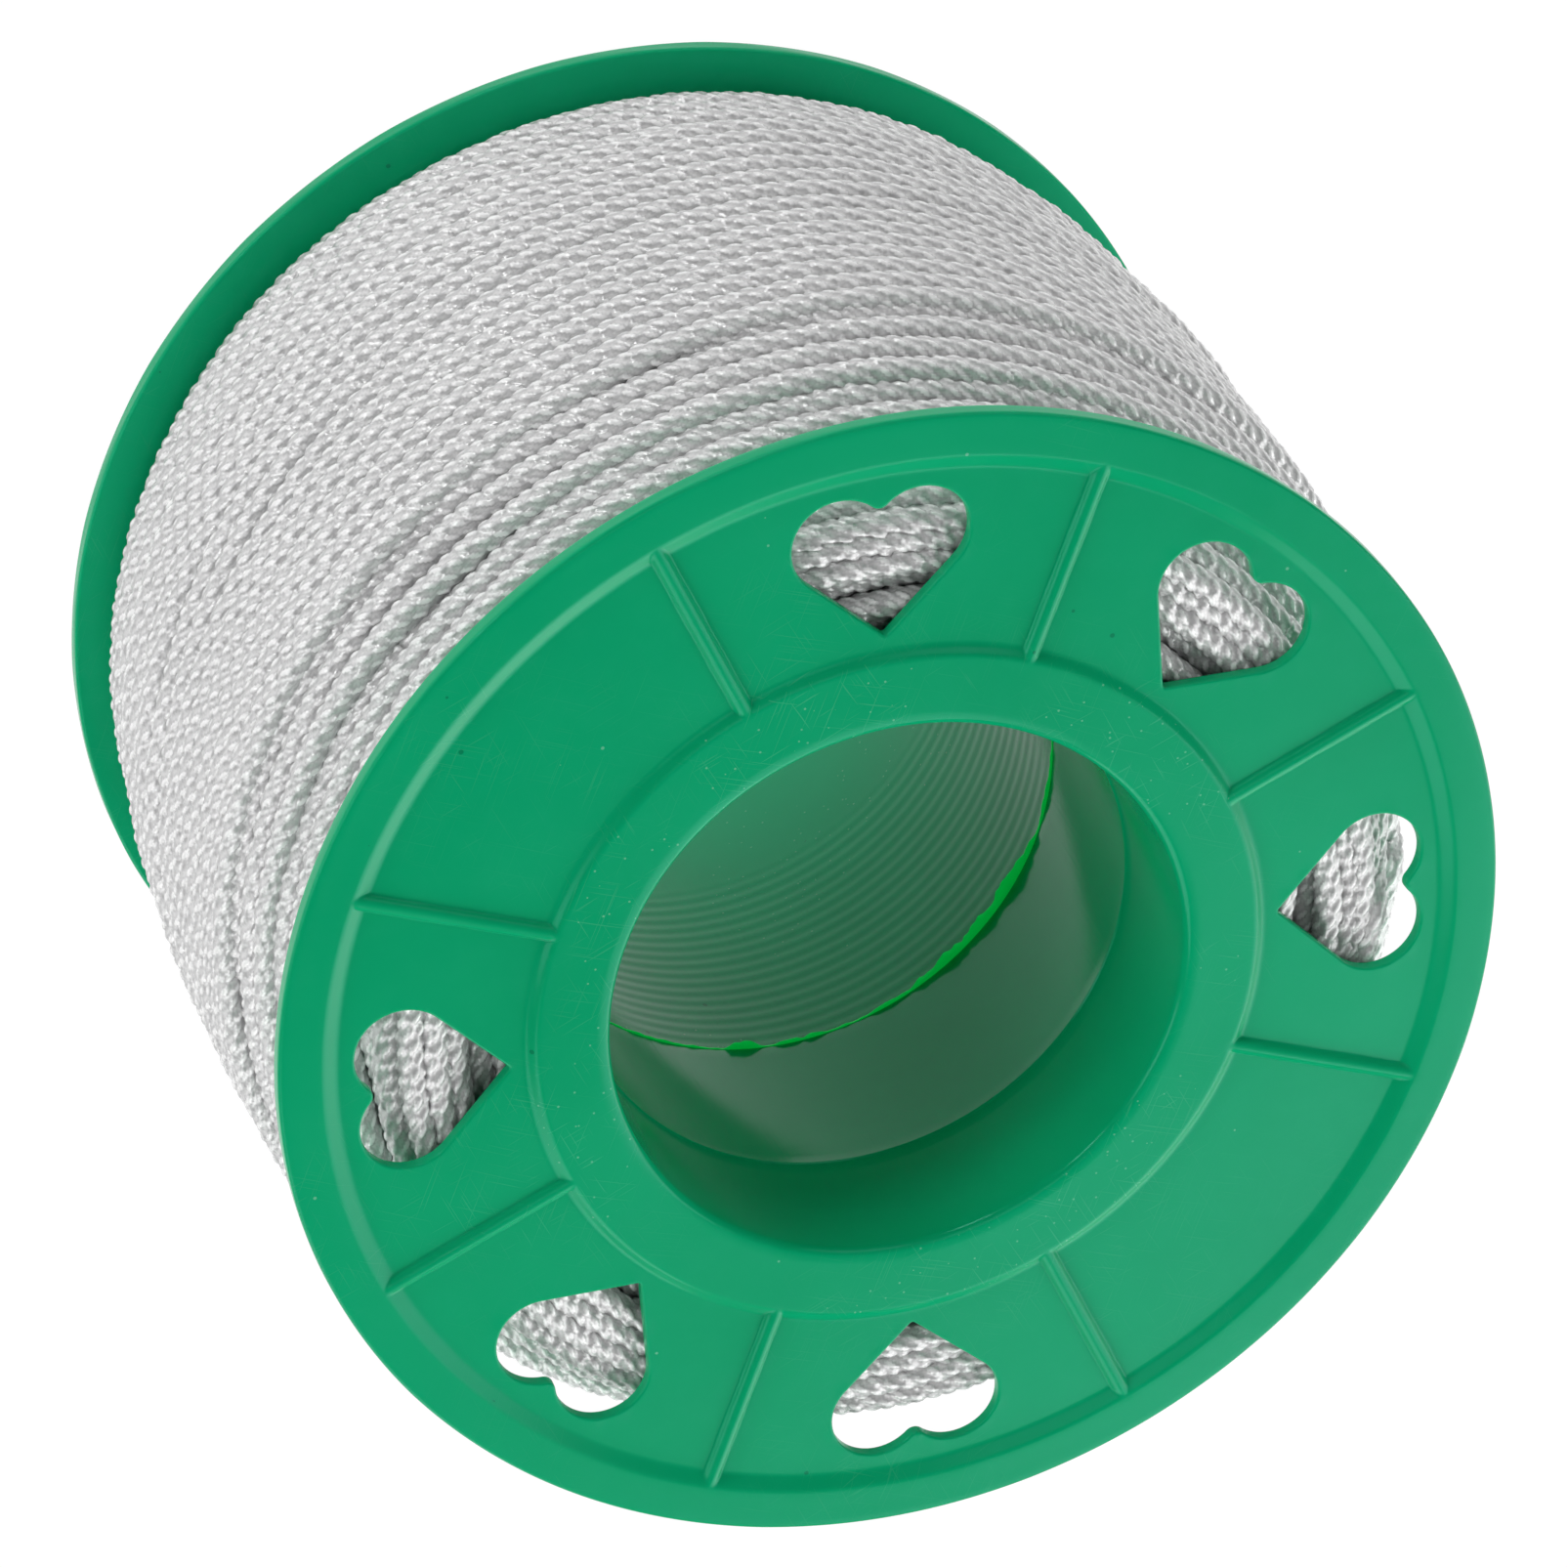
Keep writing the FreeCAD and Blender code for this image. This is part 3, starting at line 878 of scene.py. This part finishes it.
# ------------------------------------------------------------------ flash at the joint in the bore
def flash_ring():
    """A thin ragged skin of plastic that stands inwards from the front half's inner end."""
    rng = np.random.default_rng(4)
    n = 1440
    a = np.arange(n) / n * 360.0
    d = (a + 180.0) % 360.0 - 180.0
    w = np.full(n, 0.03)
    w += 0.52 * np.exp(-((d + 40) / 19.0) ** 4) + 0.32 * np.exp(-((d + 38) / 36.0) ** 4)
    w += 0.50 * np.exp(-((d + 97) / 3.2) ** 4) + 0.14 * np.exp(-((d + 110) / 17.0) ** 4)
    w += 0.42 * np.exp(-((d + 85) / 4.5) ** 4)
    w += 0.12 * np.exp(-((d - 140) / 25.0) ** 4)
    rag = smooth(np.tile(rng.normal(0, 1, n), 3), 3.0)[n:2 * n]
    rag += 0.9 * smooth(np.tile(rng.normal(0, 1, n), 3), 9.0)[n:2 * n] * 1.6
    rag = rag / rag.std()
    w = np.clip(w * (1.0 + 0.22 * rag) + 0.02 * rag, 0.004, 1.5)
    th = np.radians(a)
    up = 0.06 + 0.10 * smooth(np.tile(rng.normal(0, 1, n), 3), 8.0)[n:2 * n] * 4.0 * w
    rings = []
    zc = LENGTH - JOINT
    ro = 24.1
    rings.append((np.full(n, ro), np.full(n, zc + 0.10)))
    rings.append((23.93 - 0.5 * w, zc + 0.06 + 0.5 * up))
    rings.append((23.93 - 0.93 * w, zc + 0.03 + up))
    rings.append((23.93 - w, zc + up - 0.03))
    rings.append((23.93 - 0.90 * w, zc - 0.08 + up))
    rings.append((23.93 - 0.4 * w, zc - 0.12 + 0.4 * up))
    rings.append((np.full(n, ro), np.full(n, zc - 0.10)))
    V = np.concatenate([np.stack([r * np.cos(th), r * np.sin(th), z], 1) for r, z in rings])
    m = len(rings)
    ids = np.arange(m * n).reshape(m, n)
    Q = []
    for i in range(m):
        a_, b_ = ids[i], ids[(i + 1) % m]
        Q.append(np.stack([a_, np.roll(a_, -1), np.roll(b_, -1), b_], 1))
    return mesh_object("bore_flash", V, np.concatenate(Q))


flash = flash_ring()


# ------------------------------------------------------------------ materials
def green_plastic(name, thin_with_painted_glow=False):
    """The moulding's plastic. For the flash, the second argument adds painted light: a brighter, yellower base colour
    and an emission glow stand in for light coming through the thin plastic.
    """
    g = Nodes(name)
    tc = g.n("TexCoord")
    obj = tc.outputs["Object"]
    # slow colour drift of the moulding, and finer mottling
    n1 = g.n("TexNoise", Scale=38.0, Detail=3.0, Roughness=0.5)
    g.link(obj, n1.inputs["Vector"])
    n2 = g.n("TexNoise", Scale=420.0, Detail=4.0, Roughness=0.6)
    g.link(obj, n2.inputs["Vector"])
    col = g.mix(g.ramp(n1.outputs[0], [(0.35, 0.0), (0.65, 1.0)]), (0.0014, 0.352, 0.146), (0.0020, 0.378, 0.160))
    col = g.mix(g.math("MULTIPLY", g.ramp(n2.outputs[0], [(0.45, 0.0), (0.75, 1.0)]), 0.25), col, (0.008, 0.385, 0.172))
    # dark specks in the plastic and pale dust
    v1 = g.n("TexVoronoi", Scale=260.0, Randomness=1.0)
    g.link(obj, v1.inputs["Vector"])
    big = g.n("TexNoise", Scale=55.0, Detail=2.0)
    g.link(obj, big.inputs["Vector"])
    speck = g.math("MULTIPLY", g.math("LESS_THAN", v1.outputs["Distance"], 0.055), g.math("GREATER_THAN", big.outputs[0], 0.60))
    col = g.mix(g.math("MULTIPLY", speck, 0.55), col, (0.002, 0.12, 0.055))
    v2 = g.n("TexVoronoi", Scale=330.0, Randomness=1.0)
    mp = g.n("Mapping", Location=(0.31, 0.17, 0.05))
    g.link(obj, mp.inputs["Vector"])
    g.link(mp.outputs[0], v2.inputs["Vector"])
    dust = g.math("MULTIPLY", g.math("LESS_THAN", v2.outputs["Distance"], 0.045), g.math("LESS_THAN", big.outputs[0], 0.44))
    nrm = g.n("SeparateXYZ")
    g.link(tc.outputs["Normal"], nrm.inputs[0])
    level = g.math("GREATER_THAN", g.math("ABSOLUTE", nrm.outputs[2]), 0.8)
    col = g.mix(g.math("MULTIPLY", g.math("MULTIPLY", dust, level), 0.5), col, (0.25, 0.60, 0.42))
    # hairline scratches: long thin streaks in several directions, on the flat faces only
    sep = g.n("SeparateXYZ")
    g.link(obj, sep.inputs[0])
    flat = g.n("CombineXYZ")
    g.link(sep.outputs[0], flat.inputs[0])
    g.link(sep.outputs[1], flat.inputs[1])
    rr = g.n("VectorMath", operation="LENGTH")
    g.link(flat.outputs[0], rr.inputs[0])
    radius = rr.outputs["Value"]
    nsep = g.n("SeparateXYZ")
    g.link(tc.outputs["Normal"], nsep.inputs[0])
    flatness = g.math("GREATER_THAN", g.math("ABSOLUTE", nsep.outputs[2]), 0.8)
    warp = g.n("TexNoise", Scale=25.0, Detail=1.0)
    g.link(obj, warp.inputs["Vector"])
    bend = g.math("MULTIPLY", g.math("SUBTRACT", warp.outputs[0], 0.5), 0.004)
    bent = g.n("VectorMath", operation="ADD")
    g.link(flat.outputs[0], bent.inputs[0])
    g.link(bend, bent.inputs[1])
    lines = None
    for k, (rot, along, across, thr) in enumerate(((0.35, 130.0, 9000.0, 0.800), (1.10, 180.0, 8000.0, 0.810), (1.95, 110.0, 10000.0, 0.800), (2.70, 220.0, 7000.0, 0.810))):
        m0 = g.n("Mapping", Rotation=(0.0, 0.0, rot), Location=(0.013 * k, 0.021 * k, 0.0))
        g.link(bent.outputs[0], m0.inputs["Vector"])
        m1 = g.n("Mapping", Scale=(along, across, 1.0))
        g.link(m0.outputs[0], m1.inputs["Vector"])
        v = g.n("TexNoise", Scale=1.0, Detail=0.0, noise_dimensions="2D")
        g.link(m1.outputs[0], v.inputs["Vector"])
        s = g.math("MULTIPLY", g.math("SUBTRACT", v.outputs[0], thr), 22.0, clamp=True)
        lines = s if lines is None else g.math("MAXIMUM", lines, s)
    hub_zone = g.math("MULTIPLY", g.math("GREATER_THAN", radius, 0.0239), g.math("LESS_THAN", radius, 0.0300))
    patchy = g.n("TexNoise", Scale=45.0, Detail=2.0)
    g.link(obj, patchy.inputs["Vector"])
    worn = g.math("MULTIPLY", g.math("SUBTRACT", patchy.outputs[0], 0.44), 6.0, clamp=True)
    amount = g.math("MULTIPLY", g.math("ADD", g.math("MULTIPLY", hub_zone, 0.05), 0.10), flatness)
    lines = g.math("MULTIPLY", g.math("MULTIPLY", lines, amount), worn)
    # fine pale grains where the hub ring is handled
    v3 = g.n("TexVoronoi", Scale=1100.0, Randomness=1.0)
    g.link(obj, v3.inputs["Vector"])
    grain = g.math("MULTIPLY", g.math("LESS_THAN", v3.outputs["Distance"], 0.10), g.math("GREATER_THAN", patchy.outputs[0], 0.56))
    grain = g.math("MULTIPLY", grain, hub_zone)
    col = g.mix(g.math("MULTIPLY", grain, 0.45), col, (0.25, 0.62, 0.42))
    col = g.mix(lines, col, (0.16, 0.58, 0.36))
    if thin_with_painted_glow:
        # painted light: the flash's base colour is painted brighter and yellower, and it glows by emission, to stand in
        # for light coming through the thin plastic and for its lit top
        col = g.mix(0.85, col, (0.003, 0.80, 0.110))
        g.p.inputs["Emission Color"].default_value = (0.0, 0.55, 0.06, 1.0)
        g.p.inputs["Emission Strength"].default_value = 0.28
    g.link(col, g.p.inputs["Base Color"])
    # roughness and fine texture
    n3 = g.n("TexNoise", Scale=900.0, Detail=3.0, Roughness=0.6)
    g.link(obj, n3.inputs["Vector"])
    # the bore shows where the core was drawn out: faint streaks along it
    ang = g.math("ARCTAN2", sep.outputs[1], sep.outputs[0])
    drawn = g.n("CombineXYZ")
    g.link(g.math("MULTIPLY", ang, 60.0), drawn.inputs[0])
    g.link(g.math("MULTIPLY", sep.outputs[2], 30.0), drawn.inputs[1])
    streak = g.n("TexNoise", Scale=1.0, Detail=3.0, Roughness=0.65, noise_dimensions="2D")
    g.link(drawn.outputs[0], streak.inputs["Vector"])
    in_bore = g.math("LESS_THAN", radius, 0.0243)
    # satin on the faces, more polished in the bore
    face_rough = g.math("ADD", g.math("MULTIPLY", n1.outputs[0], 0.12), g.math("ADD", g.math("MULTIPLY", lines, 0.3), 0.17))
    bore_rough = g.math("ADD", g.math("MULTIPLY", streak.outputs[0], 0.12), 0.10)
    rough = g.math("ADD", g.math("MULTIPLY", in_bore, bore_rough), g.math("MULTIPLY", g.math("SUBTRACT", 1.0, in_bore), face_rough))
    g.link(rough, g.p.inputs["Roughness"])
    h = g.math("ADD", g.math("MULTIPLY", n3.outputs[0], 0.35), g.math("MULTIPLY", lines, -0.6))
    h = g.math("ADD", h, g.math("MULTIPLY", g.math("MULTIPLY", streak.outputs[0], in_bore), 1.2))
    b1 = g.bump(h, 0.10, 0.00006)
    n4 = g.n("TexNoise", Scale=70.0, Detail=2.0)
    g.link(obj, n4.inputs["Vector"])
    b2 = g.bump(n4.outputs[0], 0.25, 0.00025, b1)
    g.link(b2, g.p.inputs["Normal"])
    g.p.inputs["IOR"].default_value = 1.45
    g.p.inputs["Specular IOR Level"].default_value = 0.24
    g.p.inputs["Specular Tint"].default_value = (0.40, 0.95, 1.0, 1.0)
    g.p.inputs["Subsurface Weight"].default_value = 0.12
    g.p.inputs["Subsurface Radius"].default_value = (0.2, 1.0, 0.5)
    g.p.inputs["Subsurface Scale"].default_value = 0.0012
    return g.mat


def white_cord(name, with_yarn_and_painted_light=True):
    g = Nodes(name)
    col = (0.80, 0.80, 0.795)
    tc = g.n("TexCoord")
    n1 = g.n("TexNoise", Scale=60.0, Detail=3.0)
    g.link(tc.outputs["Object"], n1.inputs["Vector"])
    c = g.mix(g.ramp(n1.outputs[0], [(0.35, 0.0), (0.65, 1.0)]), (0.95, 0.95, 0.95), (0.97, 0.97, 0.968))
    if with_yarn_and_painted_light:
        rise = g.n("Attribute", attribute_name="rise")
        # painted light: the crown of each stitch is painted near white as a painted highlight, and the hollows between
        # stitches are painted lighter than the stitch sides to stand in for light coming through the thin parts; the
        # sides of a stitch keep the duller grey
        painted_valley_light = g.ramp(rise.outputs["Fac"], [(0.0, 1.0), (0.45, 0.0)])
        c = g.mix(g.ramp(rise.outputs["Fac"], [(0.55, 0.0), (0.86, 1.0)]), g.mix(painted_valley_light, (0.53, 0.53, 0.535), (0.78, 0.78, 0.78)), c)
        uv = g.n("UVMap", uv_map="yarn")
        m = g.n("Mapping", Rotation=(0.0, 0.0, LEAN))
        g.link(uv.outputs[0], m.inputs["Vector"])
        w = g.n("TexWave", wave_type="BANDS", bands_direction="Y", Scale=2.4, Distortion=1.2, Detail=2.0)
        w.inputs["Detail Scale"].default_value = 1.5
        g.link(m.outputs[0], w.inputs["Vector"])
        b = g.bump(w.outputs["Fac"], 0.18, 0.00005)
        g.link(b, g.p.inputs["Normal"])
        c = g.mix(g.math("MULTIPLY", w.outputs["Fac"], 0.12), c, (0.50, 0.50, 0.50))
    g.link(c, g.p.inputs["Base Color"])
    g.p.inputs["Roughness"].default_value = 0.24
    g.p.inputs["Specular IOR Level"].default_value = 1.0
    g.p.inputs["Coat Weight"].default_value = 1.0
    g.p.inputs["Coat Roughness"].default_value = 0.21
    g.p.inputs["Coat IOR"].default_value = 1.7
    g.p.inputs["IOR"].default_value = 1.53
    g.p.inputs["Subsurface Weight"].default_value = 0.30
    g.p.inputs["Subsurface Radius"].default_value = (1.0, 1.0, 1.0)
    g.p.inputs["Subsurface Scale"].default_value = 0.0010
    g.p.inputs["Sheen Weight"].default_value = 0.15
    g.p.inputs["Sheen Roughness"].default_value = 0.4
    return g.mat


mat_green = green_plastic("green_moulding")
mat_flash = green_plastic("green_flash", True)
mat_cord = white_cord("white_cord")
mat_core = white_cord("white_cord_inner", False)

for ob, node in ((front, "front_flange"), (rear, "rear_flange")):
    ob.data.materials.append(mat_green)
    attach(ob, "root")
    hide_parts(node)
flash.data.materials.append(mat_flash)
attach(flash, "root")
for ob in line_pieces:
    ob.data.materials.append(mat_core if ob.name.startswith("line_inner") else mat_cord)
    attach(ob, "root")
    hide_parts("line_winding")


# ------------------------------------------------------------------ floor, world and lights
floor = mesh_object("floor", np.array([(-3000, -3000, 0), (3000, -3000, 0), (3000, 3000, 0), (-3000, 3000, 0)], float) - (0, 0, 0.02), [[0, 1, 2, 3]])
fl = Nodes("pale_floor")
fl.p.inputs["Base Color"].default_value = (0.02, 0.02, 0.02, 1)
fl.p.inputs["Roughness"].default_value = 0.8
fl.p.inputs["Specular IOR Level"].default_value = 0.0
fl.p.inputs["Emission Color"].default_value = (1.0, 1.0, 1.0, 1)
fl.p.inputs["Emission Strength"].default_value = 1.0
floor.data.materials.append(fl.mat)

# a white studio seen directly, and for the light it gives: dark behind the camera, brighter above
world = bpy.data.worlds.new("studio")
bpy.context.scene.world = world
world.use_nodes = True
wt = world.node_tree
wt.nodes.clear()
w_out = wt.nodes.new("ShaderNodeOutputWorld")
w_mix = wt.nodes.new("ShaderNodeMixShader")
w_path = wt.nodes.new("ShaderNodeLightPath")
w_seen = wt.nodes.new("ShaderNodeBackground")
w_seen.inputs[0].default_value = (1.0, 1.0, 1.0, 1.0)
w_seen.inputs[1].default_value = 1.0
w_lit = wt.nodes.new("ShaderNodeBackground")
w_tc = wt.nodes.new("ShaderNodeTexCoord")
w_dot = wt.nodes.new("ShaderNodeVectorMath")
w_dot.operation = "DOT_PRODUCT"
w_dot.inputs[1].default_value = (-0.35, 0.90, 0.10)
w_map = wt.nodes.new("ShaderNodeMapRange")
w_map.inputs["From Min"].default_value = -0.3
w_map.inputs["From Max"].default_value = 1.0
w_map.inputs["To Min"].default_value = 0.0
w_map.inputs["To Max"].default_value = 0.03
wt.links.new(w_tc.outputs["Generated"], w_dot.inputs[0])
wt.links.new(w_dot.outputs["Value"], w_map.inputs["Value"])
wt.links.new(w_map.outputs["Result"], w_lit.inputs[1])
wt.links.new(w_path.outputs["Is Camera Ray"], w_mix.inputs[0])
wt.links.new(w_lit.outputs[0], w_mix.inputs[1])
wt.links.new(w_seen.outputs[0], w_mix.inputs[2])
wt.links.new(w_mix.outputs[0], w_out.inputs[0])

bpy.context.scene.view_settings.view_transform = "Standard"
bpy.context.scene.view_settings.look = "None"
bpy.context.scene.view_settings.exposure = 0.0

TARGET = Vector((0.0, 0.0, 0.040))


def softbox(name, azimuth, elevation, power, size=0.5):
    """A square area light 1.05 m from the spool that faces it."""
    a, e = math.radians(azimuth), math.radians(elevation)
    way = Vector((math.cos(e) * math.cos(a), math.cos(e) * math.sin(a), math.sin(e)))
    data = bpy.data.lights.new(name, "AREA")
    data.shape = "RECTANGLE"
    data.size = data.size_y = size
    data.energy = power
    ob = bpy.data.objects.new(name, data)
    bpy.context.scene.collection.objects.link(ob)
    ob.location = TARGET + way * 1.05
    ob.rotation_euler = (-way).to_track_quat("-Z", "Y").to_euler()
    return ob


softbox("softbox_front", 322, 27, 12.0, 1.1)
softbox("softbox_high", 100, 72, 1.0)
softbox("softbox_low", 245, 30, 5.6, 0.8)
softbox("softbox_left", 180, 26, 3.2, 0.55)
softbox("softbox_upper_left", 140, 12, 1.7, 0.22)
softbox("softbox_top", 98, 8, 1.6, 0.20)
softbox("softbox_upper_right", 60, 30, 1.2)
